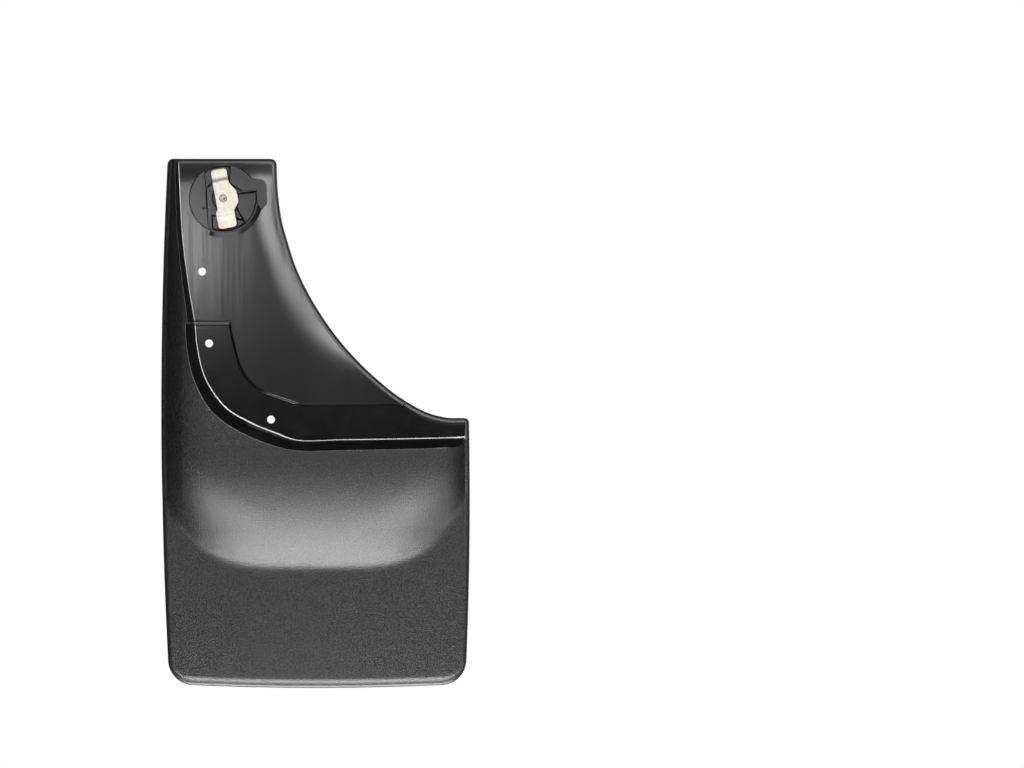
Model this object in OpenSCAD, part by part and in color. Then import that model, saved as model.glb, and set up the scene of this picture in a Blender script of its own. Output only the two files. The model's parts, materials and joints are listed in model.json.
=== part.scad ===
// Moulded mud flap with a turning clamp that grips the lip of a wheel arch.
// Millimetres. X runs across the flap, Y points away from the bodywork side, Z is up.
// The origin is on the clamp's pivot, level with the sunk front face of the flap.

/* [Flap] */
// Thickness of the moulded wall
wall = 3; // [2.5:0.5:3.5]
// How far the grained skin stands in front of the sunk face
skin_rise = 10; // [8:1:12]
// How far the flat lower flap lies behind the sunk face
flat_drop = 12; // [10:1:14]
// How far the fixing channel lies behind the sunk face
channel_depth = 4; // [3:0.5:5]
// Where the turned-back edge ends at the bottom of the flap
lower_edge_y = 24; // [22:1:28]
// Where the turned-back edge ends at the top of the flap
upper_edge_y = 15; // [14:1:18]
// Radius of the fixing screws' holes
fixing_hole_r = 3.5; // [3:0.25:4]

/* [Clamp] */
// Radius of the round seat of the clamp
seat_r = 31; // [30:0.5:32]
// Height of the collar and of the stops above the sunk face
collar_h = 9; // [8.5:0.5:10]
// Gap between the released plate's tips and the land that they clamp against
jaw_gap = 6; // [5.5:0.25:7]
// Thickness of the clamp plate
plate_t = 2; // [1.5:0.25:2.5]
// Radius of the clamp screw
screw_r = 3; // [2.5:0.5:3]

/* [Hidden] */
$fn = 64;
eps = 0.01;

// ---- outline of the flap -------------------------------------------------
top_z = 36;
bottom_z = -441;
corner_r = 23;
top_corner_r = 5.5;
tip_corner_r = 4.5;
top_right_x = 47.5;
tip_z = -197.5;

function left_x(z) = -56.5 + 6 * pow((z + 190) / 227, 2);
function right_x(z) = 221.6 - 2.6 * pow((z + 270) / 136, 2);
function low_z(x) = bottom_z + 2.5 * pow((x - 83) / 110, 2);

function arc(c, r, a0, a1, n) =
    [for (k = [0 : n]) let (a = a0 + (a1 - a0) * k / n) c + r * [cos(a), sin(a)]];

// Centres of the rounded corners
top_left_c = [left_x(top_z - top_corner_r) + top_corner_r, top_z - top_corner_r];
top_right_c = [top_right_x - top_corner_r, top_z - top_corner_r];
low_left_c = [left_x(-416) + corner_r, low_z(-27) + corner_r];
low_right_c = [right_x(-416) - corner_r, low_z(196) + corner_r];
tip_c = [right_x(-202) - tip_corner_r, tip_z - tip_corner_r];

// Concave wheel-arch edge, from the top right corner to the tip
arch_points = [[47.6, 28], [48.6, 6], [51.8, -18], [56.5, -36], [65.5, -63.5], [80, -92.5],
               [100.4, -123], [123, -148.7], [148, -171.2], [166.5, -184], [183, -192.6],
               [199.5, -197], [212, -197.5]];

// Catmull-Rom curve through p, one unit of t for each point
function spline(p, t) =
    let (n = len(p) - 1,
         i = min(floor(t), n - 1),
         f = t - i,
         a = p[max(i - 1, 0)], b = p[i], c = p[i + 1], d = p[min(i + 2, n)])
    0.5 * (2 * b + (c - a) * f + (2 * a - 5 * b + 4 * c - d) * f * f
           + (3 * b - a - 3 * c + d) * f * f * f);

// The outline in four runs, which meet in the middle of the corners
outer_run = concat(
    arc(top_left_c, top_corner_r, 135, 180, 4),
    [for (z = [24 : -12 : -408]) [left_x(z), z]],
    arc(low_left_c, corner_r, 180, 270, 12),
    [for (x = [-20 : 12 : 184]) [x, low_z(x)]],
    arc(low_right_c, corner_r, 270, 315, 6));
right_run = concat(
    arc(low_right_c, corner_r, 315, 360, 6),
    [for (z = [-408 : 12 : -204]) [right_x(z), z]],
    arc(tip_c, tip_corner_r, 0, 45, 4));
arch_run = concat(
    arc(top_right_c, top_corner_r, 45, 0, 4),
    [for (t = [0 : 0.25 : len(arch_points) - 1]) spline(arch_points, t)],
    arc(tip_c, tip_corner_r, 90, 45, 4));
top_run = concat(
    arc(top_left_c, top_corner_r, 135, 90, 4),
    arc(top_right_c, top_corner_r, 90, 45, 4));

// Length along a run up to each of its points
function lengths(p, i = 0, s = 0) =
    i == len(p) - 1 ? [s] : concat([s], lengths(p, i + 1, s + norm(p[i + 1] - p[i])));
// A run as two lookup tables, of X and of Z against length
function tables(p) = let (s = lengths(p))
    [[for (i = [0 : len(p) - 1]) [s[i], p[i][0]]], [for (i = [0 : len(p) - 1]) [s[i], p[i][1]]]];
function along(tab, s) = [lookup(s, tab[0]), lookup(s, tab[1])];

outer_tab = tables(outer_run);
right_tab = tables(right_run);
arch_tab = tables(arch_run);
top_tab = tables(top_run);

// ---- course of the groove and of the fixing channel -----------------------
// Each row is one station: outer line of the groove, inner line of the groove,
// far side of the fixing channel.
course = [
    [[-44, 36], [-40, 36], [14, 36]],
    [[-41.5, -30], [-37, -30], [10, -30]],
    [[-37, -75], [-31.5, -75], [7, -75]],
    [[-32.5, -111], [-25.5, -111], [5, -111]],
    [[-33, -134], [-23, -134], [9, -134]],
    [[-26.5, -163], [-15.5, -162], [17, -158]],
    [[-12, -190], [2, -187], [32, -172.5]],
    [[10, -207.5], [24, -200.5], [48, -179]],
    [[39, -220.5], [47, -210], [58, -182.5]],
    [[67, -227], [68, -217], [70, -185]],
    [[105, -226.6], [105, -216.4], [110, -185.3]],
    [[142, -226], [142, -216], [150, -185.5]],
    [[180, -225], [180, -215.2], [178, -195.5]],
    [[221, -224], [221, -214.5], [221, -202]]];
last_station = len(course) - 1;
// Length along the outer run and along the arch run at each station
function total(run) = lengths(run)[len(run) - 1];
outer_at = [0, 66, 111, 150, 190, 270, 390, 470, 530, 572, 613, 656, 695, total(outer_run)];
arch_at = [0, 31, 53, 75, 108, 134, 165, 188, 202, 214, 236, 254, 275, total(arch_run)];
// The channel starts at this station, and its end walls run over this part of one
channel_start = 3;
channel_ramp = 0.08;

function station_list(v) = [for (i = [0 : len(v) - 1]) [i, v[i]]];
groove_outer = [for (c = course) c[0]];
groove_inner = [for (c = course) c[1]];
channel_side = [for (c = course) c[2]];

// ---- depth of the front face ----------------------------------------------
bulge_cx = 82;
bulge_a = 141;
bulge_z = -215;
bulge_b = 117;
bulge_curve = 2.3;
strip_x = -38;
strip_fall = 0.22;

function smooth(v) = let (c = min(max(v, 0), 1)) c * c * (3 - 2 * c);
// The bulge is broad at its foot, and square across its shoulders
function bulge_power(z) = 4 + 8 * smooth((z + 300) / 90);
function bulge(x, z) =
    pow(abs(x - bulge_cx) / bulge_a, bulge_power(z)) + pow(max(bulge_z - z, 0) / bulge_b, bulge_curve);
// The narrow strip beside the groove falls away towards the outer edge
function strip_drop(x, z) = strip_fall * max(strip_x - x, 0) * smooth((z + 300) / 60);
function skin_y(p) = strip_drop(p[0], p[1])
    + min(flat_drop, -skin_rise + (flat_drop + skin_rise) * bulge(p[0], p[1]));
function channel_y(t) = channel_depth * smooth((t - channel_start) / channel_ramp);
function free_edge_y(z) = upper_edge_y + (lower_edge_y - upper_edge_y) * smooth((20 - z) / 220);

// ---- grid of the panel ------------------------------------------------------
rows = concat([0, 0.04, 0.1, 0.2, 0.4, 0.7], [for (t = [1 : 0.25 : 3]) t],
              [channel_start + channel_ramp], [for (t = [3.3 : 0.25 : 6.6]) t],
              [for (t = [6.75 : 0.07 : 7.3]) t], [for (t = [7.5 : 0.25 : 12.75]) t],
              [12.9, 12.96, last_station]);
// Columns: [segment, fraction]. Segment 0 is the skin, 1 the groove's wall, 2 the
// channel, 3 the channel's far wall and 4 the sunk face.
cols = concat([for (f = [0, 0.04, 0.1, 0.2, 0.33, 0.46, 0.6, 0.74, 0.88]) [0, f]],
              [[1, 0], [2, 0], [2, 0.5], [3, 0], [4, 0], [4, 0.33], [4, 0.67], [4, 1]]);
n_rows = len(rows) - 1;
n_cols = len(cols) - 1;
edge_r = 4;
step_run = 2;

function mix(a, b, f) = a + (b - a) * f;

// Where each column meets the top edge, by X between the two corners
function top_x(c) = c[0] == 0 ? mix(top_left_c[0], groove_outer[0][0], c[1])
    : c[0] == 1 ? groove_outer[0][0]
    : c[0] == 2 ? mix(groove_inner[0][0], channel_side[0][0], c[1])
    : c[0] == 3 ? channel_side[0][0]
    : mix(channel_side[0][0] + step_run, top_right_c[0], c[1]);
function top_point(c) =
    c == cols[0] ? top_run[0]
    : c == cols[n_cols] ? top_run[len(top_run) - 1]
    : [top_x(c), top_z];
// Where each column meets the right edge: lengths back from the tip's middle
groove_foot = 24;
channel_foot = 15;
channel_end = 8;
face_foot = 7;
last_foot = 5;
right_length = total(right_run);
function right_s(c) = right_length - (
    c[0] == 0 ? mix(right_length, groove_foot, c[1])
    : c[0] == 1 ? groove_foot
    : c[0] == 2 ? mix(channel_foot, channel_end, c[1])
    : c[0] == 3 ? face_foot
    : mix(last_foot, 0, c[1]));
// Where the skin's rows would end at the last station without the right edge
skin_foot = [217, -224];
border = concat(
    [for (t = rows) along(outer_tab, lookup(t, station_list(outer_at)))],
    [for (j = [1 : n_cols]) along(right_tab, right_s(cols[j]))],
    [for (i = [n_rows - 1 : -1 : 0]) along(arch_tab, lookup(rows[i], station_list(arch_at)))],
    [for (j = [n_cols - 1 : -1 : 1]) top_point(cols[j])]);
n_border = len(border);

// Inward unit normal of the border at point k
function inward(k) =
    let (d = border[(k + 1) % n_border] - border[(k + n_border - 1) % n_border])
    [-d[1], d[0]] / norm(d);
function inset(k, d) = border[k] + d * inward(k);

// Index in the border of grid point (i, j), or -1 inside the grid
function border_index(i, j) =
    j == 0 ? i : i == n_rows ? n_rows + j : j == n_cols ? n_rows + n_cols + (n_rows - i)
    : i == 0 ? n_border - j : -1;

// Grid point seen from the front, before its depth
function grid_xz(i, j) =
    let (k = border_index(i, j),
         t = rows[i],
         c = cols[j],
         go = spline(groove_outer, t), gi = spline(groove_inner, t),
         cs = spline(channel_side, t),
         first = inset(i, edge_r),
         last = inset(n_rows + n_cols + (n_rows - i), edge_r),
         cs2 = mix(cs, last, min(0.6, step_run / norm(last - cs))),
         right_edge = along(right_tab, right_s(c)) - [edge_r, 0],
         right_pull = right_edge - mix(inset(n_rows, edge_r), skin_foot, c[1]))
    k >= 0 ? inset(k, edge_r)
    : c[0] == 0 ? mix(first, go, c[1]) + max(t - last_station + 1, 0) * right_pull
    : c[0] == 1 ? go
    : c[0] == 2 ? mix(gi, cs, c[1])
    : c[0] == 3 ? cs
    : mix(cs2, last, c[1]);

function grid_y(i, j) =
    let (c = cols[j], t = rows[i])
    c[0] < 2 ? skin_y(grid_xz(i, j)) : c[0] < 4 ? channel_y(t) : 0;

function at_depth(p, y) = [p[0], y, p[1]];

// Border ring: one loop of points for each [inset, depth] pair
function ring_y(k) =
    k <= n_rows ? grid_y(k, 0)
    : k <= n_rows + n_cols ? grid_y(n_rows, k - n_rows)
    : k <= 2 * n_rows + n_cols ? grid_y(2 * n_rows + n_cols - k, n_cols)
    : grid_y(0, n_border - k);

front_grid = [for (i = [0 : n_rows]) for (j = [0 : n_cols]) at_depth(grid_xz(i, j), grid_y(i, j))];
back_grid = [for (p = front_grid) p + [0, wall, 0]];
border_y = [for (k = [0 : n_border - 1]) ring_y(k)];

function ring_point(k, m) =
    let (y = border_y[k], z = border[k][1])
    m == 0 ? at_depth(inset(k, edge_r * 0.3), y + edge_r * 0.3)
    : m == 1 ? at_depth(border[k], y + edge_r)
    : m == 2 ? at_depth(border[k], free_edge_y(z))
    : m == 3 ? at_depth(inset(k, wall), free_edge_y(z))
    : at_depth(inset(k, wall), y + wall + 1);
ring_loops = 5;
ring = [for (m = [0 : ring_loops - 1]) for (k = [0 : n_border - 1]) ring_point(k, m)];

n_grid = (n_rows + 1) * (n_cols + 1);
function grid_id(i, j) = i * (n_cols + 1) + j;
function border_id(k) =
    k <= n_rows ? grid_id(k, 0)
    : k <= n_rows + n_cols ? grid_id(n_rows, k - n_rows)
    : k <= 2 * n_rows + n_cols ? grid_id(2 * n_rows + n_cols - k, n_cols)
    : grid_id(0, n_border - k);
function ring_id(k, m) =
    m < 0 ? border_id(k % n_border)
    : m == ring_loops ? n_grid + border_id(k % n_border)
    : 2 * n_grid + m * n_border + k % n_border;
function two(a, b, c, d) = [[a, b, c], [a, c, d]];

panel_faces = concat(
    [for (i = [0 : n_rows - 1]) for (j = [0 : n_cols - 1])
        each two(grid_id(i, j), grid_id(i, j + 1), grid_id(i + 1, j + 1), grid_id(i + 1, j))],
    [for (i = [0 : n_rows - 1]) for (j = [0 : n_cols - 1])
        each two(n_grid + grid_id(i, j), n_grid + grid_id(i + 1, j),
                 n_grid + grid_id(i + 1, j + 1), n_grid + grid_id(i, j + 1))],
    [for (m = [-1 : ring_loops - 1]) for (k = [0 : n_border - 1])
        each two(ring_id(k, m), ring_id(k + 1, m), ring_id(k + 1, m + 1), ring_id(k, m + 1))]);

// Fixing holes: the first in the sunk face, the others in the channel
fixing_holes = [[-19.4, -65.6], [-13.2, -130.2], [42.6, -198.8]];

// Cylinder along Y from y0 to y1
module rod(r, y0, y1) {
    translate([0, y0, 0]) rotate([-90, 0, 0]) cylinder(r = r, h = y1 - y0);
}
// Flat shape drawn in X and Z, thickened along Y from y0 to y1
module slab(y0, y1) {
    translate([0, y1, 0]) rotate([90, 0, 0]) linear_extrude(height = y1 - y0) children();
}

module flap_panel() {
    color([0.09, 0.09, 0.095]) difference() {
        polyhedron(points = concat(front_grid, back_grid, ring), faces = panel_faces);
        rod(seat_r + 0.2, -5, 12);
        for (h = fixing_holes) translate([h[0], 0, h[1]]) rod(fixing_hole_r, -5, 12);
    }
}

// ---- clamp ------------------------------------------------------------------
floor_y = 2;
seat_back_y = 9;
boss_back_y = 13;
boss_r = 12;
ear_h = collar_h + 0.6;
collar_in_r = 29.5;
collar_foot_r = 35.5;
collar_top_r = 31.5;
// Ends of the land's straight edge
land_top = [-17.1, 22];
land_bottom = [-13.4, -33.3];
hub_r = 8;
hub_gap = 0.06;

// Side of the land, as a half plane cut by its straight edge
module land_side(grow = 0) {
    polygon([[-45, 45], land_top + [-1.54 + grow, 23], land_bottom + [0.78 + grow, -11.7], [-45, -45]]);
}

// Ear and stops beside the pocket: outer wall, then the stop walls
ear = concat(
    arc([0, 0], seat_r - 0.6, 78.5, 38, 8),
    arc([33, 11.5], 6, 100, 10, 6),
    [[39.4, -4.4], [34.4, -10], [30.3, -4]],
    arc([0, 0], seat_r - 0.9, -6, 14.2, 4),
    [[15.9, 7.4], [5.9, 14]]);

// Raised step of the pocket's floor, on the right
raised_floor_y = 0.4;
raised_sector = concat([[12, -9], [12, 4]], arc([0, 0], 29.7, 12, -48, 8));
// Deeper step of the pocket's floor, at the bottom
deep_floor_y = 5;
deep_sector = [[1, -15], [9, -17], [19, -19.5], [24, -40], [-9.5, -40], [-10.5, -15]];
// Block between the land's straight edge and the hub
block = [[-15.7, 9.2], [-11.2, 13.4], [-4, 13.4], [-4, -10], [-14.6, -10]];
nub = [[-18, -9.8], [-14, -9.8], [-14, -8.4], [-18, -8.4]];
nub_h = 0.8;
hub_front_y = -3.5;
hub_flange_r = 9.7;
hub_flange_back_y = 4;

// Collar round the pocket: sloped outside, from the land's edge to the ear
module collar() {
    difference() {
        rotate([90, 0, 0]) rotate([0, 0, -112]) rotate_extrude(angle = 110)
            polygon([[collar_in_r - 1, -1], [seat_r - 0.5, -1], [seat_r - 0.5, 0],
                     [collar_foot_r, 0], [collar_foot_r, 0.6],
                     [collar_top_r, collar_h], [collar_in_r - 1, collar_h]]);
        slab(-collar_h - 1, 2) land_side();
    }
}

module clamp_housing() {
    color([0.1, 0.1, 0.11]) difference() {
        union() {
            difference() {
                union() {
                    rod(seat_r, 0, seat_back_y);
                    rod(boss_r, seat_back_y - 1, boss_back_y);
                    collar();
                }
                // pocket for the plate, cut from the land's straight edge to the right
                slab(-collar_h - 1, floor_y) difference() {
                    circle(r = collar_in_r);
                    land_side();
                }
                slab(floor_y - 1, deep_floor_y) intersection() {
                    circle(r = collar_in_r - 0.8);
                    polygon(deep_sector);
                }
            }
            slab(-ear_h, 0) polygon(ear);
            slab(-ear_h, floor_y + 1) intersection() {
                polygon(ear);
                circle(r = seat_r - 0.2);
            }
            slab(raised_floor_y, floor_y + 1) polygon(raised_sector);
            slab(hub_front_y, floor_y + 1) polygon(block);
            slab(-nub_h, 1) polygon(nub);
        }
        rod(hub_r + hub_gap, hub_front_y - 1, boss_back_y + 1);
        rod(hub_flange_r + 0.3, hub_front_y - 1, hub_flange_back_y + 0.2);
    }
}

hub_back_y = boss_back_y - 0.2;
socket = 9.8;
socket_floor_y = 9.5;
nut_w = 9.6;
nut_len = 7.5;
plate_y = -jaw_gap - plate_t - 3;
nut_back_y = plate_y + plate_t + nut_len;
tilt = 10.5;

module tilted() {
    rotate([0, -tilt, 0]) children();
}

module turn_hub() {
    color([0.16, 0.17, 0.19]) tilted() difference() {
        union() {
            rod(hub_r, hub_flange_back_y - 1, hub_back_y);
            rod(hub_flange_r, hub_front_y, hub_flange_back_y);
        }
        translate([-socket / 2, hub_front_y - 1, -socket / 2])
            cube([socket, socket_floor_y - hub_front_y + 1, socket]);
        rod(screw_r + 0.06, 0, hub_back_y + 1);
    }
}

// Outline of the plate, in its own directions
plate_outline = concat(
    arc([4.4, 23.7], 3, 0, 80, 4),
    arc([-3.8, 23.8], 3, 95, 180, 4),
    [[-6.9, -9], [-8.8, -11.5]],
    arc([-5.9, -23.6], 3, 180, 265, 4),
    arc([4.8, -23.7], 3, 280, 360, 4),
    [[7.8, -12], [13.1, -5.2], [12.9, 4.6], [7.5, 13.2]]);
// Bends: the tips lie this much nearer to the land than the middle
joggle = 3;
upper_bend = [15.5, 18.5];
lower_bend = [16.5, 19.5];
// Side view of the strip: depth against length
strip_side = [
    [-30, plate_y + joggle], [-lower_bend[1], plate_y + joggle], [-lower_bend[0], plate_y],
    [upper_bend[0], plate_y], [upper_bend[1], plate_y + joggle], [30, plate_y + joggle]];

module clamp_plate() {
    color([0.87, 0.82, 0.74]) tilted() difference() {
        intersection() {
            slab(plate_y - 1, 0) polygon(plate_outline);
            translate([-20, 0, 0]) rotate([90, 0, 90]) linear_extrude(height = 40)
                polygon(concat([for (p = strip_side) [p[1], p[0]]],
                               [for (i = [5 : -1 : 0]) [strip_side[i][1] + plate_t, strip_side[i][0]]]));
        }
        rod(screw_r + 0.3, plate_y - 1, 0);
    }
}

module plate_nut() {
    color([0.72, 0.7, 0.66]) tilted() difference() {
        translate([-nut_w / 2, plate_y + plate_t, -nut_w / 2]) cube([nut_w, nut_len, nut_w]);
        rod(screw_r + 0.05, plate_y, nut_back_y + 1);
    }
}

screw_front_y = plate_y - 1;
washer_t = 1.2;
head_r = 5;
head_h = 6;
head_y = boss_back_y + washer_t;
clip_y = socket_floor_y - 1;

module clamp_screw() {
    color([0.75, 0.73, 0.68]) difference() {
        union() {
            rod(screw_r, screw_front_y, head_y + eps);
            rod(head_r, head_y, head_y + head_h);
        }
        // groove for the retaining clip
        difference() {
            rod(screw_r + 1, clip_y, clip_y + 0.8);
            rod(screw_r - 0.5, clip_y - 1, clip_y + 2);
        }
        // hexagon socket for the key
        translate([0, head_y + head_h - 3.5, 0]) rotate([-90, 0, 0])
            cylinder(r = 5 / sqrt(3), h = 5, $fn = 6);
        // dimple in the front end
        translate([0, screw_front_y, 0]) rotate([-90, 0, 0])
            translate([0, 0, -eps]) cylinder(r1 = 1.6, r2 = 0.6, h = 0.8);
    }
}

module screw_washer() {
    color([0.7, 0.7, 0.7]) difference() {
        rod(8.5, boss_back_y, head_y);
        rod(screw_r + 0.2, boss_back_y - 1, head_y + 1);
    }
}

module retaining_clip() {
    color([0.3, 0.3, 0.32]) difference() {
        rod(4.8, clip_y, clip_y + 0.8);
        rod(screw_r - 0.5, clip_y - 1, clip_y + 2);
        translate([-1.6, clip_y - 1, 0]) cube([3.2, 3, 6]);
    }
}

// Return spring between the nut and the clip, one swept wire
spring_wire_r = 0.4;
spring_r = 4.3;
spring_turns = 5;
spring_steps = 20;
spring_sides = 8;
spring_y0 = nut_back_y + spring_wire_r + 0.05;
spring_y1 = clip_y - spring_wire_r - 0.05;
spring_last = spring_turns * spring_steps;
function coil_at(i) =
    let (a = 360 * i / spring_steps)
    [spring_r * cos(a), mix(spring_y0, spring_y1, i / spring_last), spring_r * sin(a)];
spring_points = [for (i = [0 : spring_last]) for (k = [0 : spring_sides - 1])
    let (a = 360 * i / spring_steps, b = 360 * k / spring_sides)
    coil_at(i) + spring_wire_r * [cos(b) * cos(a), sin(b), cos(b) * sin(a)]];
spring_faces = concat(
    [[for (k = [0 : spring_sides - 1]) k]],
    [for (i = [0 : spring_last - 1]) for (k = [0 : spring_sides - 1])
        let (a = i * spring_sides, k2 = (k + 1) % spring_sides)
        each two(a + k, a + spring_sides + k, a + spring_sides + k2, a + k2)],
    [[for (k = [spring_sides - 1 : -1 : 0]) spring_last * spring_sides + k]]);

module return_spring() {
    color([0.8, 0.8, 0.8]) polyhedron(points = spring_points, faces = spring_faces);
}

flap_panel();
clamp_housing();
turn_hub();
clamp_plate();
plate_nut();
clamp_screw();
screw_washer();
return_spring();
retaining_clip();
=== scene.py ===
"""Looks of a moulded mud flap with a turning clamp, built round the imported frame.

Metres, +Z up, the clamp's pivot at the origin, the clamp side facing -Y.
The flap's outline, groove and bulge are drawn in millimetres and scaled once.
"""

import json
import math

import bmesh
import bpy
import numpy as np
from mathutils import Matrix, Vector

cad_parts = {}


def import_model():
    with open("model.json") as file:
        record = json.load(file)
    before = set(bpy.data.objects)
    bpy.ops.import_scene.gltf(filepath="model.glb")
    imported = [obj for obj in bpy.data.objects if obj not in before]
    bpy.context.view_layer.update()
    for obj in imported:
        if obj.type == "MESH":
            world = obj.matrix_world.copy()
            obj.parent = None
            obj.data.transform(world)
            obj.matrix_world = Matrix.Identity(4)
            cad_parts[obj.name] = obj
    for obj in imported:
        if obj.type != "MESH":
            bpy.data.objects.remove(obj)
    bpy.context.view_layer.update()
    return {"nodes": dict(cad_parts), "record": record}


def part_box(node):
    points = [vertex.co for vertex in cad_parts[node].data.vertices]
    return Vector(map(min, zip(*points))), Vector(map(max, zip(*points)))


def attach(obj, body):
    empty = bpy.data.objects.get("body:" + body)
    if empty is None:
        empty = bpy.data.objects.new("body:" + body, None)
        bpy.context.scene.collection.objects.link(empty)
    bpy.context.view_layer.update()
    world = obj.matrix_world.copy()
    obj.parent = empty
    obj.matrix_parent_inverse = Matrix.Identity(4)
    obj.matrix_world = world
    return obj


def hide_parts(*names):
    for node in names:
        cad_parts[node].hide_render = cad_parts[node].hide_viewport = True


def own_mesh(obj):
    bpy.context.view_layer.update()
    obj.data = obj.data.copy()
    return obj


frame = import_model()
MM = 0.001

# ---- outline of the flap, in millimetres -----------------------------------------
panel_low, panel_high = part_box("flap_panel")
TOP_Z = panel_high.z / MM
BOTTOM_Z = panel_low.z / MM
BACK_Y = panel_high.y / MM
WALL = 3
CORNER_R = 23
TOP_CORNER_R = 5.5
TIP_CORNER_R = 4.5
TOP_RIGHT_X = 47.5
TIP_Z = -197.5

# Bowed sides: the outermost place, where along the side it is, a distance from there,
# and how far the side has fallen away at that distance
LEFT_BOW = (-56.5, -190, 227, 6)
RIGHT_BOW = (221.6, -270, 136, -2.6)
BOTTOM_BOW = (BOTTOM_Z, 83, 110, 2.5)

# Where the sides and the bottom edge run into the two lower corners
CORNER_Z = -416
LOW_LEFT_X = -27
LOW_RIGHT_X = 196

# Concave wheel-arch edge, from the top right corner to the tip
ARCH = [(47.6, 28), (48.6, 6), (51.8, -18), (56.5, -36), (65.5, -63.5), (80, -92.5),
        (100.4, -123), (123, -148.7), (148, -171.2), (166.5, -184), (183, -192.6),
        (199.5, -197), (212, -197.5)]


def bowed(v, bow):
    extreme, middle, reach, change = bow
    return extreme + change * ((v - middle) / reach) ** 2


def left_x(z):
    return bowed(z, LEFT_BOW)


def right_x(z):
    return bowed(z, RIGHT_BOW)


def low_z(x):
    return bowed(x, BOTTOM_BOW)


def arc(centre, r, start, end, n=14):
    a = np.radians(np.linspace(start, end, n + 1))
    return np.stack([centre[0] + r * np.cos(a), centre[1] + r * np.sin(a)], 1)


def spline(points, t):
    """Catmull-Rom curve through the points, one unit of t for each."""
    p = np.asarray(points, float)
    t = np.asarray(t, float)
    i = np.clip(np.floor(t).astype(int), 0, len(p) - 2)
    f = (t - i)[:, None]
    before, after = p[np.maximum(i - 1, 0)], p[np.minimum(i + 2, len(p) - 1)]
    start, end = p[i], p[i + 1]
    square = 2 * before - 5 * start + 4 * end - after
    cube = 3 * start - before - 3 * end + after
    return 0.5 * (2 * start + (end - before) * f + square * f**2 + cube * f**3)


def upright(side, start, end, n):
    """Points of a bowed side between two heights."""
    z = np.linspace(start, end, n)
    return np.stack([side(z), z], 1)


class Run:
    """A stretch of the outline, read by the length along it."""

    def __init__(self, *pieces):
        self.p = np.concatenate(pieces)
        self.s = np.concatenate([[0], np.cumsum(np.hypot(*np.diff(self.p, axis=0).T))])
        self.length = self.s[-1]

    def at(self, s):
        return np.stack([np.interp(s, self.s, self.p[:, k]) for k in (0, 1)], 1)


top_corner_z = TOP_Z - TOP_CORNER_R
tip_corner_z = TIP_Z - TIP_CORNER_R
TOP_LEFT_C = (left_x(top_corner_z) + TOP_CORNER_R, top_corner_z)
TOP_RIGHT_C = (TOP_RIGHT_X - TOP_CORNER_R, top_corner_z)
LOW_LEFT_C = (left_x(CORNER_Z) + CORNER_R, low_z(LOW_LEFT_X) + CORNER_R)
LOW_RIGHT_C = (right_x(CORNER_Z) - CORNER_R, low_z(LOW_RIGHT_X) + CORNER_R)
TIP_C = (right_x(tip_corner_z) - TIP_CORNER_R, tip_corner_z)

# The outline is four runs that meet in the middle of the corners. A side starts this
# far from the corner's arc, so that no two points fall together.
CLEAR = 1
low_x = np.linspace(LOW_LEFT_C[0] + CLEAR, LOW_RIGHT_C[0] - CLEAR, 120)
outer_run = Run(
    arc(TOP_LEFT_C, TOP_CORNER_R, 135, 180),
    upright(left_x, TOP_LEFT_C[1] - CLEAR, LOW_LEFT_C[1] + CLEAR, 200),
    arc(LOW_LEFT_C, CORNER_R, 180, 270, 30),
    np.stack([low_x, low_z(low_x)], 1),
    arc(LOW_RIGHT_C, CORNER_R, 270, 315, 15))
right_run = Run(
    arc(LOW_RIGHT_C, CORNER_R, 315, 360, 15),
    upright(right_x, LOW_RIGHT_C[1] + CLEAR, TIP_C[1] - CLEAR, 120),
    arc(TIP_C, TIP_CORNER_R, 0, 45))
arch_run = Run(
    arc(TOP_RIGHT_C, TOP_CORNER_R, 45, 0),
    spline(ARCH, np.linspace(0, len(ARCH) - 1, 200)),
    arc(TIP_C, TIP_CORNER_R, 90, 45))
top_run = Run(
    arc(TOP_LEFT_C, TOP_CORNER_R, 135, 90),
    arc(TOP_RIGHT_C, TOP_CORNER_R, 90, 45))

# ---- course of the groove and of the fixing channel --------------------------------
# Each row is one station: outer line of the groove, inner line of the groove, far
# side of the channel, then the lengths along the outer run and along the arch run.
# Past station CHANNEL_END the channel is open to the arch edge, and its far side
# follows that edge instead of these points.
COURSE = [
    ((-44, 36), (-40, 36), (14, 36), 0, 0),
    ((-41.5, -30), (-37, -30), (10, -30), 66, 31),
    ((-37, -75), (-31.5, -75), (7, -75), 111, 53),
    ((-32.5, -111), (-25.5, -111), (5, -111), 150, 75),
    ((-33, -134), (-23, -134), (9, -134), 190, 108),
    ((-26.5, -163), (-15.5, -162), (17, -158), 270, 134),
    ((-12, -190), (2, -187), (32, -172.5), 390, 165),
    ((10, -207.5), (24, -200.5), (48, -179), 470, 188),
    ((39, -220.5), (47, -210), (58, -182.5), 530, 202),
    ((67, -227), (68, -217), (70, -185), 572, 214),
    ((105, -226.6), (105, -216.4), (110, -185.3), 613, 236),
    ((142, -226), (142, -216), (160.5, -185.5), 656, 258),
    ((180, -225), (180, -215.2), (205, -185.7), 695, 277),
    ((221, -224), (221, -214.5), (221, -202), outer_run.length, arch_run.length)]
LAST = len(COURSE) - 1
GROOVE_OUTER, GROOVE_INNER, CHANNEL_SIDE, OUTER_AT, ARCH_AT = zip(*COURSE)

# Stations at which the channel starts and runs out, and how long its end wall takes
CHANNEL_START = 3
CHANNEL_RAMP = 0.08
CHANNEL_END = 11
CHANNEL_DEPTH = 4

# Width of the band that is left along the arch edge past CHANNEL_END
EDGE_BAND_START = 0.4
EDGE_BAND_GAIN = 4.5

# The groove's outer line steps out where the channel starts, and turns up at its end
GROOVE_JOG = 2.2
GROOVE_END_RISE = 6.5
GROOVE_END_SPAN = 0.4

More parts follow.
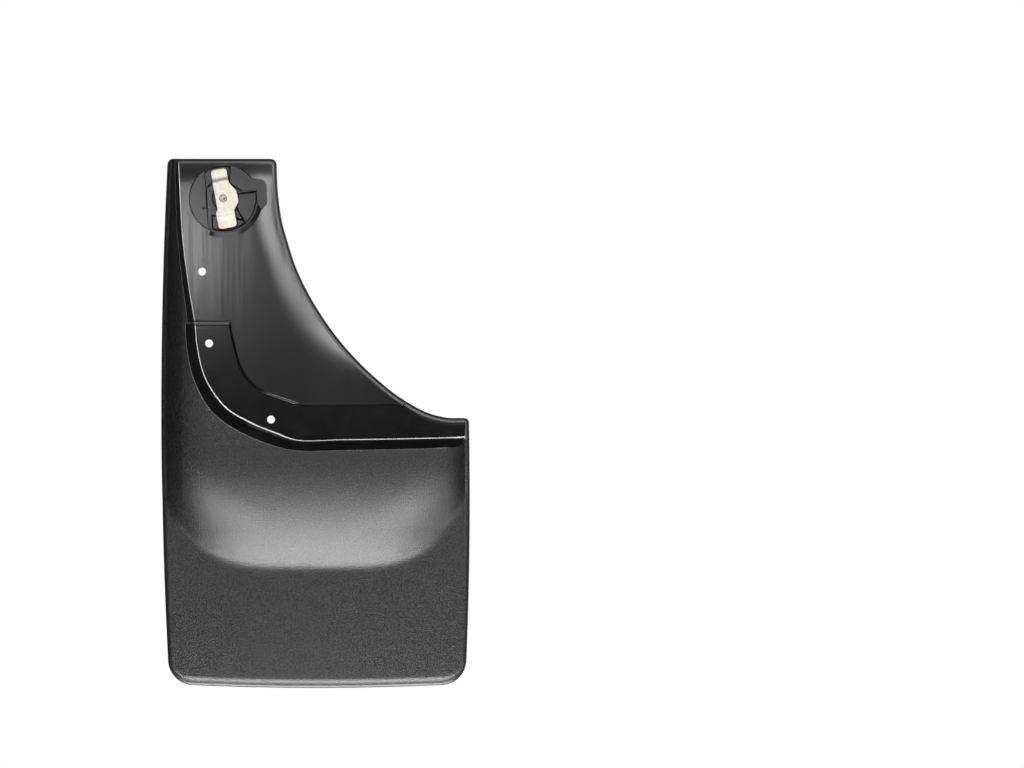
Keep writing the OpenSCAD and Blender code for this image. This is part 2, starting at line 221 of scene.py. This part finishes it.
# ---- depth of the front face -------------------------------------------------------
SKIN_RISE = 10
FLAT_DROP = 12
BULGE_CX, BULGE_A = 82, 141
BULGE_Z, BULGE_B = -215, 117
BULGE_CURVE = 2.0
CREASE_BLEND = 1.9

# The bulge's side walls grow steeper from this height up
SIDE_POWER, SIDE_POWER_GAIN = 4, 8
SIDE_FADE_Z, SIDE_FADE = -300, 90

# Left of STRIP_X the skin falls back towards the edge, above the same height
STRIP_X = -38
STRIP_FALL = 0.22
STRIP_FADE = 60

# The sunk face falls back a little towards the arch edge and towards the top edge
FLARE = 1.6
FLARE_WIDTH = 30
FLARE_FADE_Z, FLARE_FADE = -168, 60
TOP_FLARE = 1.8
TOP_FLARE_WIDTH = 22


def smooth(v):
    c = np.clip(v, 0, 1)
    return c * c * (3 - 2 * c)


def rounded_ramp(v, start, end):
    """From 0 to 1 with a straight middle and round ends of the given shares."""
    v = np.clip(v, 0, 1)
    slope = 1 / (1 - start / 2 - end / 2)
    low = slope * v**2 / (2 * start)
    mid = slope * (v - start / 2)
    high = 1 - slope * (1 - v) ** 2 / (2 * end)
    return np.where(v < start, low, np.where(v > 1 - end, high, mid))


def skin_y(p):
    """Depth of the grained skin: a broad bulge that ends on the flat lower flap."""
    x, z = p[..., 0], p[..., 1]
    power = SIDE_POWER + SIDE_POWER_GAIN * smooth((z - SIDE_FADE_Z) / SIDE_FADE)
    across = (np.abs(x - BULGE_CX) / BULGE_A) ** power
    down = (np.maximum(BULGE_Z - z, 0) / BULGE_B) ** BULGE_CURVE
    dome = -SKIN_RISE + (FLAT_DROP + SKIN_RISE) * (across + down)
    h = np.clip(0.5 + 0.5 * (dome - FLAT_DROP) / CREASE_BLEND, 0, 1)
    skin = dome + (FLAT_DROP - dome) * h - CREASE_BLEND * h * (1 - h)
    strip = STRIP_FALL * np.maximum(STRIP_X - x, 0)
    return skin + strip * smooth((z - SIDE_FADE_Z) / STRIP_FADE)


def channel_y(t):
    return CHANNEL_DEPTH * smooth((t - CHANNEL_START) / CHANNEL_RAMP)


def top_flare(p):
    return TOP_FLARE * np.clip(1 - (TOP_Z - p[..., 1]) / TOP_FLARE_WIDTH, 0, 1) ** 2


# ---- grid of the panel -------------------------------------------------------------
# Rows cross the flap from the outer run to the arch run, and t is the row's station.
# Columns run along it, from the top run to the right run, in five segments.
SKIN, GROOVE_WALL, CHANNEL, FAR_WALL, FACE = range(5)
ROW_STEP = 2.4
END_ROWS = [0, 0.008, 0.018, 0.03, 0.045, 0.065, 0.09]
RAMP_ROWS = 8
RAMP_CLEAR = 0.02
SKIN_COLS = 65
SKIN_CROWDING = 1.15
WALL_STOPS = [0, 0.03, 0.06, 0.1, 0.2, 0.35, 0.5, 0.62, 0.7, 0.74, 0.78, 0.82,
              0.86, 0.9, 0.93, 0.96, 0.98]
CHANNEL_STOPS = [0, 0.015, 0.04, 0.1, 0.25, 0.45, 0.65, 0.8, 0.9, 0.96, 0.985]
STEP_COLS = 7
FACE_STOPS = [0, 0.01, 0.03, *np.linspace(0.07, 0.9, 14), 0.94, 0.97, 0.985, 1]

# Shares of the groove's wall that its brow and its foot take, then the run of the
# channel's far wall, the share that each of its fillets takes, and the most of the
# width up to the arch edge that it may cover
BROW_SHARE = 0.08
FOOT_SHARE = 0.3
STEP_RUN = 2.2
STEP_SHARE = 0.2
STEP_LIMIT = 0.6


def panel_rows():
    """Values of t: even along the longest line of each station, close at the ends."""
    rows = []
    for k in range(LAST):
        spans = [np.hypot(*np.subtract(c[k + 1], c[k])) for c in (GROOVE_OUTER, CHANNEL_SIDE)]
        n = math.ceil(max(spans + [OUTER_AT[k + 1] - OUTER_AT[k]]) / ROW_STEP)
        rows += [k + i / n for i in range(n)]
    start = [CHANNEL_START + CHANNEL_RAMP * i / (RAMP_ROWS - 1) for i in range(RAMP_ROWS)]
    end = [LAST - e / 2 for e in END_ROWS]
    rows = [t for t in rows if END_ROWS[-1] < t < end[-1]
            and not start[0] - RAMP_CLEAR < t < start[-1] + RAMP_CLEAR]
    return np.array(sorted(rows + END_ROWS + end + start))


def panel_cols():
    """(segment, share of the segment) for every column."""
    even = np.linspace(0, 1, SKIN_COLS, endpoint=False)
    stops = [1 - (1 - even) ** SKIN_CROWDING, WALL_STOPS, CHANNEL_STOPS,
             np.linspace(0, 1, STEP_COLS, endpoint=False), FACE_STOPS]
    return [(s, f) for s, shares in enumerate(stops) for f in shares]


def mix(a, b, f):
    return a + (b - a) * f


rows = panel_rows()
cols = panel_cols()
seg = np.array([c[0] for c in cols])
share = np.array([c[1] for c in cols])
n_rows, n_cols = len(rows) - 1, len(cols) - 1

# Lengths along the top run and the right run at which each segment meets the border
TOP_AT = [0, 5.6, 9.6, 63.6, 65.6, top_run.length]
RIGHT_AT = [0] + [right_run.length - s for s in (17.5, 15, 7, 5)] + [right_run.length]

# The rolled edge is set in by EDGE_R, and by EDGE_R_GAIN more along the bottom lip
EDGE_R = 4
EDGE_R_GAIN = 5


def border_lengths(stops):
    stops = np.array(stops)
    return mix(stops[seg], stops[seg + 1], share)


border = np.concatenate([
    outer_run.at(np.interp(rows, range(LAST + 1), OUTER_AT)),
    right_run.at(border_lengths(RIGHT_AT))[1:],
    arch_run.at(np.interp(rows, range(LAST + 1), ARCH_AT))[-2::-1],
    top_run.at(border_lengths(TOP_AT))[-2:0:-1]])
n_border = len(border)
tangent = np.roll(border, -1, 0) - np.roll(border, 1, 0)
inward = np.stack([-tangent[:, 1], tangent[:, 0]], 1) / np.hypot(*tangent.T)[:, None]
edge_r = (EDGE_R + EDGE_R_GAIN * np.clip(inward[:, 1], 0, 1) ** 2)[:, None]
inner = border + inward * edge_r

# The grid's own sides, just inside the rolled edge
outer_side = inner[: n_rows + 1]
right_side = inner[n_rows: n_rows + n_cols + 1]
arch_side = inner[n_rows + n_cols: 2 * n_rows + n_cols + 1][::-1]
top_side = np.concatenate([inner[:1], inner[:2 * n_rows + n_cols - 1:-1]])


def course_lines():
    """Groove lines and the channel's far side, one point for every row."""
    outer, foot, far = (spline(c, rows) for c in (GROOVE_OUTER, GROOVE_INNER, CHANNEL_SIDE))
    jog = smooth((rows - CHANNEL_START) / CHANNEL_RAMP) * (1 - smooth(rows - CHANNEL_START))
    outer[:, 0] -= GROOVE_JOG * jog
    end = np.clip((rows - LAST + GROOVE_END_SPAN) / GROOVE_END_SPAN, 0, 1)
    outer[:, 1] += GROOVE_END_RISE * end**2
    band = EDGE_BAND_START + EDGE_BAND_GAIN * smooth(rows - CHANNEL_END)
    below_edge = arch_side - np.stack([0 * rows, band], 1)
    return outer, foot, np.where((rows >= CHANNEL_END)[:, None], below_edge, far)


def panel_grid():
    """X and Z of every grid point, and its depth."""
    outer, foot, far = course_lines()
    gap = arch_side - far
    far_top = far + gap * np.minimum(STEP_LIMIT, STEP_RUN / np.hypot(*gap.T))[:, None]
    lines = np.stack([outer_side, outer, foot, far, far_top, arch_side])
    xz = np.stack([mix(lines[s], lines[s + 1], f) for s, f in cols], 1)
    right_fix = right_side - xz[-1]
    top_fix = top_side - xz[0]
    xz = xz + np.clip(rows - LAST + 1, 0, 1)[:, None, None] ** 2 * right_fix
    xz = xz + np.clip(1 - rows, 0, 1)[:, None, None] ** 2 * top_fix
    return xz, np.stack([column_y(j, xz, far) for j in range(n_cols + 1)], 1)


def column_y(j, xz, far):
    """Depth of one column of the grid."""
    place, segment = xz[:, j], seg[j]
    if segment == SKIN:
        return skin_y(place)
    deep = channel_y(rows)
    if segment == GROOVE_WALL:
        brow = skin_y(xz[:, seg == GROOVE_WALL][:, 0])
        return mix(brow, deep + top_flare(place), rounded_ramp(share[j], BROW_SHARE, FOOT_SHARE))
    if segment == CHANNEL:
        return deep + top_flare(place)
    from_far = np.hypot(*(place - far).T)
    from_edge = np.hypot(*(place - arch_side).T)
    climb = rounded_ramp(from_far / STEP_RUN, STEP_SHARE, STEP_SHARE)
    climb = np.where(rows >= CHANNEL_END, 0, climb)
    flare = FLARE * smooth((place[:, 1] - FLARE_FADE_Z) / FLARE_FADE)
    flare = flare * np.maximum(1 - from_edge / FLARE_WIDTH, 0) ** 2
    return deep * (1 - climb) + flare + top_flare(place)


# ---- shell of the panel ------------------------------------------------------------
EDGE_STEPS = 9
EDGE_DROP = 6
OUTER_LIP = 0.8
INNER_LIP = 0.6

# Fillet where the turned-back edge meets the back: heights above it and its inset
FILLET_HIGH, FILLET_LOW, FILLET_INSET = 3, 1, 0.4

# The free edge reaches the back plane low down and is less deep towards the top
FREE_TOP_Y = 15
FREE_TOP_Z = 20
FREE_FADE = 220

# The panel's own material slots; the fourth is the channel's black, darker than the face's as painted
# shade of the recess
GRAINED, GLOSS, SATIN, CHANNEL_SHADE_BLACK, POLISHED = range(5)


def free_edge_y(z):
    return FREE_TOP_Y + (BACK_Y - FREE_TOP_Y) * smooth((FREE_TOP_Z - z) / FREE_FADE)


def to_points(xz, y):
    return np.stack([xz[..., 0], y, xz[..., 1]], -1).reshape(-1, 3)


def ring(values):
    """The border values of a grid array, in the border's own order."""
    return np.concatenate([values[:, 0], values[-1, 1:], values[-2::-1, -1], values[0, -2:0:-1]])


def quads(a, b, c, d):
    return np.stack([a, b, c, d], -1).reshape(-1, 4)


def edge_loops(front_y):
    """Loops of the rolled edge, the free edge and the inside of the turned-back wall."""
    drop = np.minimum(edge_r[:, 0], EDGE_DROP)
    free = free_edge_y(border[:, 1])
    loops = [(border + inward * edge_r * (1 - np.sin(b)), front_y + drop * (1 - np.cos(b)))
             for b in np.radians(np.linspace(0, 90, EDGE_STEPS + 1))[1:]]
    return loops + [
        (border, free - OUTER_LIP),
        (border + inward * OUTER_LIP, free),
        (border + inward * (WALL - INNER_LIP), free),
        (border + inward * WALL, free - INNER_LIP),
        (border + inward * WALL, front_y + WALL + FILLET_HIGH),
        (border + inward * (WALL + FILLET_INSET), front_y + WALL + FILLET_LOW)]


def front_slots():
    """Material slot of every front face."""
    s = seg[:-1]
    in_channel = (s == GROOVE_WALL) | ((s < FACE) & (rows[:-1, None] >= CHANNEL_START))
    # Channel and groove wall take the darker black, painted shade of the recess
    slots = np.where(in_channel, CHANNEL_SHADE_BLACK, GLOSS)
    slots[:, (s == GROOVE_WALL) & (share[:-1] >= 1 - FOOT_SHARE)] = POLISHED
    slots[:, s == SKIN] = GRAINED
    return slots.ravel()


def edge_slots():
    """Material slot of every face in one ring of the outside edge."""
    k = np.arange(n_border)
    skin_cols = int((seg == SKIN).sum())
    return np.where((k < n_rows + skin_cols) | (k > n_border - skin_cols), GRAINED, SATIN)


def panel_mesh():
    """Closed shell: front grid, back grid and the rings of the edge between them."""
    xz, y = panel_grid()
    loops = edge_loops(ring(y))
    grid = to_points(xz, y)
    n_grid = len(grid)
    points = np.concatenate([grid, grid + [0, WALL, 0]] + [to_points(p, v) for p, v in loops])
    ids = np.arange(n_grid).reshape(n_rows + 1, n_cols + 1)
    front = quads(ids[:-1, :-1], ids[1:, :-1], ids[1:, 1:], ids[:-1, 1:])
    back = quads(ids[:-1, :-1], ids[:-1, 1:], ids[1:, 1:], ids[1:, :-1]) + n_grid
    chain = [ring(ids)]
    chain += [2 * n_grid + m * n_border + np.arange(n_border) for m in range(len(loops))]
    chain += [ring(ids) + n_grid]
    sides = [quads(a, b, np.roll(b, -1), np.roll(a, -1)) for a, b in zip(chain, chain[1:])]
    faces = np.concatenate([front, back] + sides)

    outside = EDGE_STEPS + 2
    inside = len(sides) - outside
    slots = np.concatenate([front_slots(), np.full(len(back), SATIN), np.tile(edge_slots(), outside),
                            np.full(inside * n_border, SATIN)])
    mesh = bpy.data.meshes.new("flap_skin")
    mesh.from_pydata((points * MM).tolist(), [], faces.tolist())
    mesh.polygons.foreach_set("material_index", slots.astype(np.int32))
    smooth_shaded(mesh)
    mesh.validate()
    mesh.update()
    return mesh


# ---- mesh helpers ------------------------------------------------------------------
FLAT_WEIGHT = 90


def new_object(name, mesh):
    obj = bpy.data.objects.new(name, mesh)
    bpy.context.scene.collection.objects.link(obj)
    return obj


def smooth_shaded(mesh):
    mesh.polygons.foreach_set("use_smooth", np.ones(len(mesh.polygons), bool))


def cylinder_y(name, x, z, r, y0, y1, segments=64):
    """Cylinder along Y, in millimetres, used to cut a round hole."""
    turn = Matrix.Rotation(math.pi / 2, 4, "X")
    place = Matrix.Translation((x * MM, (y0 + y1) / 2 * MM, z * MM)) @ turn
    bm = bmesh.new()
    bmesh.ops.create_cone(bm, cap_ends=True, segments=segments, radius1=r * MM, radius2=r * MM,
                          depth=(y1 - y0) * MM, matrix=place)
    mesh = bpy.data.meshes.new(name)
    bm.to_mesh(mesh)
    bm.free()
    return new_object(name, mesh)


def bake_modifiers(obj):
    graph = bpy.context.evaluated_depsgraph_get()
    mesh = bpy.data.meshes.new_from_object(obj.evaluated_get(graph))
    obj.modifiers.clear()
    obj.data = mesh


def cut(obj, cutters):
    """Cuts each cutter out of obj, then removes the cutters."""
    for c in cutters:
        m = obj.modifiers.new("cut", "BOOLEAN")
        m.operation = "DIFFERENCE"
        m.solver = "EXACT"
        m.object = c
    bake_modifiers(obj)
    for c in cutters:
        bpy.data.objects.remove(c)


def weigh_normals(obj, sharp_angle):
    """Keeps flat faces flat beside small rounded ones, and real edges sharp."""
    obj.data.set_sharp_from_angle(angle=math.radians(sharp_angle))
    normals = obj.modifiers.new("flat_faces", "WEIGHTED_NORMAL")
    normals.keep_sharp = True
    normals.weight = FLAT_WEIGHT
    bake_modifiers(obj)


def shown_for(obj, node, body):
    """Shows obj in the place of a CAD node, on that node's body."""
    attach(obj, body)
    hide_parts(node)
    return obj


def cad_copy(node, look):
    """Copy of a CAD node's mesh with one material."""
    mesh = frame["nodes"][node].data.copy()
    mesh.materials.clear()
    mesh.materials.append(look)
    return mesh


# ---- the flap ----------------------------------------------------------------------
SEAT_R = 31.2
SEAT_LIP_R = 30.7
SEAT_LIP_Y = 1.2
CUT_FRONT = -10
CUT_BACK = 20
SEAT_BACK = 12
PANEL_SHARP_ANGLE = 55


def fixing_holes():
    """A cutter for each open screw hole that the record lists as a bore."""
    cutters = []
    for mount in frame["record"]["mounts"]:
        if mount["kind"] == "bore":
            x, _, z = mount["pos_m"]
            r = mount["dims"]["r_mm"]
            cutters.append(cylinder_y("hole", x / MM, z / MM, r, CUT_FRONT, CUT_BACK))
    return cutters


def build_panel(materials):
    obj = new_object("flap_skin", panel_mesh())
    for m in materials:
        obj.data.materials.append(m)
    seat = cylinder_y("seat", 0, 0, SEAT_R, CUT_FRONT, SEAT_LIP_Y, 128)
    seat_back = cylinder_y("seat_back", 0, 0, SEAT_LIP_R, CUT_FRONT, SEAT_BACK, 128)
    cut(obj, fixing_holes() + [seat, seat_back])
    weigh_normals(obj, PANEL_SHARP_ANGLE)
    shown_for(obj, "flap_panel", "root")


# ---- the clamp's pieces --------------------------------------------------------------
MERGE_DISTANCE = 0.002
FLAT_ANGLE = 0.6
ROUND_FROM_ANGLE = 28
PART_SHARP_ANGLE = 32


def softened(node, body, look, width):
    """Copy of a CAD node with rounded edges, shown in its place."""
    mesh = cad_copy(node, look)
    bm = bmesh.new()
    bm.from_mesh(mesh)
    bmesh.ops.remove_doubles(bm, verts=bm.verts, dist=MERGE_DISTANCE * MM)
    bmesh.ops.dissolve_limit(bm, angle_limit=math.radians(FLAT_ANGLE), verts=bm.verts, edges=bm.edges)
    bm.to_mesh(mesh)
    bm.free()
    obj = new_object(node + "_soft", mesh)
    bevel = obj.modifiers.new("round", "BEVEL")
    bevel.width = width * MM
    bevel.segments = 3
    bevel.limit_method = "ANGLE"
    bevel.angle_limit = math.radians(ROUND_FROM_ANGLE)
    bevel.use_clamp_overlap = False
    bevel.miter_outer = "MITER_ARC"
    bake_modifiers(obj)
    smooth_shaded(obj.data)
    weigh_normals(obj, PART_SHARP_ANGLE)
    shown_for(obj, node, body)


def moulded(node, body, look, voxel, passes, keep):
    """Copy of a CAD node with soft inner and outer corners, as moulding leaves them."""
    obj = new_object(node + "_soft", cad_copy(node, look))
    remesh = obj.modifiers.new("remesh", "REMESH")
    remesh.mode = "VOXEL"
    remesh.voxel_size = voxel * MM
    soften = obj.modifiers.new("soften", "SMOOTH")
    soften.factor = 0.5
    soften.iterations = passes
    thin = obj.modifiers.new("thin", "DECIMATE")
    thin.ratio = keep
    bake_modifiers(obj)
    smooth_shaded(obj.data)
    shown_for(obj, node, body)


def sprung(node, body, look):
    """Copy of the return spring, shown in its place, with a mesh of its own."""
    mesh = cad_copy(node, look)
    smooth_shaded(mesh)
    obj = shown_for(new_object(node + "_wire", mesh), node, body)
    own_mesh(obj)


# ---- materials -----------------------------------------------------------------------


def material(name):
    m = bpy.data.materials.new(name)
    m.use_nodes = True
    return m, m.node_tree.nodes, m.node_tree.links, m.node_tree.nodes["Principled BSDF"]


def set_shader(shader, **values):
    for name, value in values.items():
        shader.inputs[name.replace("_", " ")].default_value = value


def noise(nodes, links, scale, detail, stretch=None):
    """Noise in the object's own coordinates, stretched if asked."""
    coords = nodes.new("ShaderNodeTexCoord")
    tex = nodes.new("ShaderNodeTexNoise")
    tex.inputs["Scale"].default_value = scale
    tex.inputs["Detail"].default_value = detail
    source = coords.outputs["Object"]
    if stretch:
        mapping = nodes.new("ShaderNodeMapping")
        mapping.inputs["Scale"].default_value = stretch
        links.new(source, mapping.inputs["Vector"])
        source = mapping.outputs["Vector"]
    links.new(source, tex.inputs["Vector"])
    return tex.outputs["Fac"]


def ramp(nodes, links, source, low, high, stops=(0.3, 0.7)):
    """Colour that goes from low to high between the two stops."""
    node = nodes.new("ShaderNodeValToRGB")
    for element, position, colour in zip(node.color_ramp.elements, stops, (low, high)):
        element.position = position
        element.color = colour
    links.new(source, node.inputs["Fac"])
    return node.outputs["Color"]


def bumped(nodes, links, shader, height, strength, distance):
    bump = nodes.new("ShaderNodeBump")
    bump.inputs["Strength"].default_value = strength
    bump.inputs["Distance"].default_value = distance
    links.new(height, bump.inputs["Height"])
    links.new(bump.outputs["Normal"], shader.inputs["Normal"])


def grey(v):
    return (v, v, v * 1.02, 1)


def plastic(name, grain, low, high, bump=None, stops=(0.3, 0.7), **values):
    """Plastic with a noise in its colour and, if asked, in its relief.

    grain is the noise's scale, detail and stretch. bump is its strength and distance.
    """
    m, nodes, links, shader = material(name)
    cloud = noise(nodes, links, *grain)
    links.new(ramp(nodes, links, cloud, low, high, stops), shader.inputs["Base Color"])
    set_shader(shader, **values)
    if bump:
        bumped(nodes, links, shader, cloud, *bump)
    return m


def grained_plastic():
    """Spark-eroded grain of the outer skin."""
    return plastic("grained_plastic", (1050, 2), grey(0.001), grey(0.019), (0.55, 0.0004),
                   stops=(0.38, 0.62), Roughness=0.33)


def gloss_plastic():
    """Polished sunk face, with the faint draw streaks of the mould."""
    return plastic("gloss_plastic", (60, 3, (1, 1, 0.06)), grey(0.006), grey(0.010), (0.3, 0.0006),
                   Roughness=0.18)


def satin_plastic():
    """Plain moulded finish of the back and of the edge beside the sunk face."""
    return plastic("satin_plastic", (300, 3), grey(0.012), grey(0.018), (0.1, 0.0003), Roughness=0.42)


def channel_plastic():
    """Black of the polished fixing channel and the groove's wall, its colour darker than the sunk
    face's: painted shade of the recess.
    """
    return plastic("channel_plastic", (90, 2), grey(0.003), grey(0.005), (0.08, 0.0004), Roughness=0.16)


def foot_plastic():
    """Mirror polish of the small radius along the foot of the groove's wall, in the channel's darker
    black, which is painted shade of the recess.
    """
    return plastic("foot_plastic", (90, 2), grey(0.003), grey(0.005), Roughness=0.2,
                   Coat_Weight=1.0, Coat_IOR=1.9, Coat_Roughness=0.12)


def housing_plastic():
    """Smooth black nylon of the clamp's housing."""
    return plastic("housing_plastic", (220, 3), grey(0.006), grey(0.011), (0.1, 0.0003),
                   Roughness=0.22, Specular_IOR_Level=0.46)


def hub_plastic():
    """Bluish glass-filled nylon of the turning hub."""
    return plastic("hub_plastic", (500, 3), (0.008, 0.010, 0.014, 1), (0.016, 0.019, 0.026, 1),
                   (0.15, 0.0003), Roughness=0.34)


def metal(name, dark, light, rough, scale, metallic, stretch=None):
    """Metal with a fine variation of colour, gloss and relief."""
    m, nodes, links, shader = material(name)
    cloud = noise(nodes, links, scale, 4, stretch)
    links.new(ramp(nodes, links, cloud, (*dark, 1), (*light, 1)), shader.inputs["Base Color"])
    gloss = ramp(nodes, links, cloud, grey(rough + 0.06), grey(rough - 0.06))
    links.new(gloss, shader.inputs["Roughness"])
    set_shader(shader, Metallic=metallic)
    bumped(nodes, links, shader, cloud, 0.12, 0.0002)
    return m


def plated_steel():
    """Warm satin plating of the stamped plate."""
    return metal("plated_steel", (0.42, 0.385, 0.325), (0.55, 0.51, 0.44), 0.5, 260, 0.5)


def zinc_steel():
    """Dull zinc of the nut, the screw and the washer."""
    return metal("zinc_steel", (0.22, 0.205, 0.18), (0.36, 0.34, 0.30), 0.42, 300, 0.8)


def spring_steel():
    """Bright drawn wire, streaked along its length."""
    return metal("spring_steel", (0.40, 0.40, 0.41), (0.55, 0.55, 0.55), 0.3, 700, 1.0, (1, 1, 0.2))


# ---- the whole flap --------------------------------------------------------------------
plate_look, zinc_look, wire_look = plated_steel(), zinc_steel(), spring_steel()
moulded("clamp_housing", "root", housing_plastic(), voxel=0.3, passes=12, keep=0.55)
softened("turn_hub", "hub", hub_plastic(), 0.35)
softened("clamp_plate", "jaw", plate_look, 0.45)
softened("plate_nut", "jaw", zinc_look, 0.2)
softened("clamp_screw", "screw", zinc_look, 0.2)
softened("screw_washer", "root", zinc_look, 0.15)
sprung("return_spring", "hub", wire_look)
frame["nodes"]["retaining_clip"].data.materials[0] = wire_look
build_panel([grained_plastic(), gloss_plastic(), satin_plastic(), channel_plastic(), foot_plastic()])

# ---- stage, lights and camera ----------------------------------------------------------
FLOOR_Z = -1.6
FLOOR_HALF = 9
WORLD_LIGHT = 0.03
SENSOR_WIDTH = 36
CAMERA_DISTANCE = 8
VIEW_CENTRE = (0.2596, -0.1668)
VIEW_WIDTH = 0.9216

# name, place, what it faces, size, power
LIGHTS = [
    ("low_front", (0.07, -0.65, -0.84), (0.07, 0, -0.27), (0.62, 0.24), 12),
    ("underneath", (0.08, 0.05, -0.84), (0.08, 0, -0.4), (0.6, 0.2), 5.5),
    ("front_left", (-0.09, -1, -0.02), (-0.09, 0, -0.02), (0.06, 0.1), 0.42),
    ("front_right", (0.17, -1, 0.07), (0.17, 0, 0.07), (0.16, 0.16), 1.1),
    ("low_right", (0.85, -0.75, -0.95), (0, 0, -0.05), (0.35, 0.35), 3),
    ("right_high", (0.62, -0.8, 0.1), (0, 0, -0.12), (0.3, 0.4), 4.5),
    ("corner_high", (0.45, -0.8, 0.35), (0, 0, -0.15), (0.3, 0.3), 3),
    ("top_strip", (0.12, -0.8, 0.5), (0.12, 0, -0.2), (0.6, 0.3), 5),
    ("back_left", (-0.9, 1.6, 0.5), (0.08, 0, -0.2), (1.2, 1.2), 14),
    ("back_right", (1.2, 1.2, -0.3), (0.08, 0, -0.2), (0.6, 1.2), 6)]


def stage():
    """White floor, which shines for the camera only, so that it stays pale."""
    mesh = bpy.data.meshes.new("floor")
    corners = [(-1, -1), (1, -1), (1, 1), (-1, 1)]
    mesh.from_pydata([(x * FLOOR_HALF, y * FLOOR_HALF, FLOOR_Z) for x, y in corners], [], [(0, 1, 2, 3)])
    floor = new_object("floor", mesh)
    m, nodes, links, shader = material("floor_white")
    shader.inputs["Base Color"].default_value = (0.92, 0.92, 0.92, 1)
    shader.inputs["Roughness"].default_value = 0.9
    shader.inputs["Specular IOR Level"].default_value = 0.1
    shader.inputs["Emission Color"].default_value = (1, 1, 1, 1)
    path = nodes.new("ShaderNodeLightPath")
    links.new(path.outputs["Is Camera Ray"], shader.inputs["Emission Strength"])
    mesh.materials.append(m)


def world():
    """White to the camera, dim to everything else, as in a tented studio."""
    w = bpy.data.worlds.new("studio")
    w.use_nodes = True
    nodes, links = w.node_tree.nodes, w.node_tree.links
    nodes["Background"].inputs["Color"].default_value = (1, 1, 1, 1)
    nodes["Background"].inputs["Strength"].default_value = WORLD_LIGHT
    white = nodes.new("ShaderNodeBackground")
    white.inputs["Color"].default_value = (1, 1, 1, 1)
    path = nodes.new("ShaderNodeLightPath")
    pick = nodes.new("ShaderNodeMixShader")
    links.new(path.outputs["Is Camera Ray"], pick.inputs["Fac"])
    links.new(nodes["Background"].outputs["Background"], pick.inputs[1])
    links.new(white.outputs["Background"], pick.inputs[2])
    links.new(pick.outputs["Shader"], nodes["World Output"].inputs["Surface"])
    bpy.context.scene.world = w
    bpy.context.scene.view_settings.view_transform = "Standard"


def area_light(name, place, target, size, power):
    """Soft rectangular light, unseen by the camera."""
    light = bpy.data.lights.new(name, "AREA")
    light.shape = "RECTANGLE"
    light.size, light.size_y = size
    light.energy = power
    obj = new_object(name, light)
    obj.location = place
    obj.rotation_euler = (Vector(target) - Vector(place)).to_track_quat("-Z", "Y").to_euler()
    obj.visible_camera = False


def camera():
    """Straight at the clamp side, from far enough away to look almost parallel."""
    cam = bpy.data.cameras.new("camera")
    cam.sensor_width = SENSOR_WIDTH
    cam.lens = SENSOR_WIDTH * CAMERA_DISTANCE / VIEW_WIDTH
    obj = new_object("camera", cam)
    obj.location = (VIEW_CENTRE[0], -CAMERA_DISTANCE, VIEW_CENTRE[1])
    obj.rotation_euler = (math.pi / 2, 0, 0)
    bpy.context.scene.camera = obj


stage()
world()
for light in LIGHTS:
    area_light(*light)
camera()
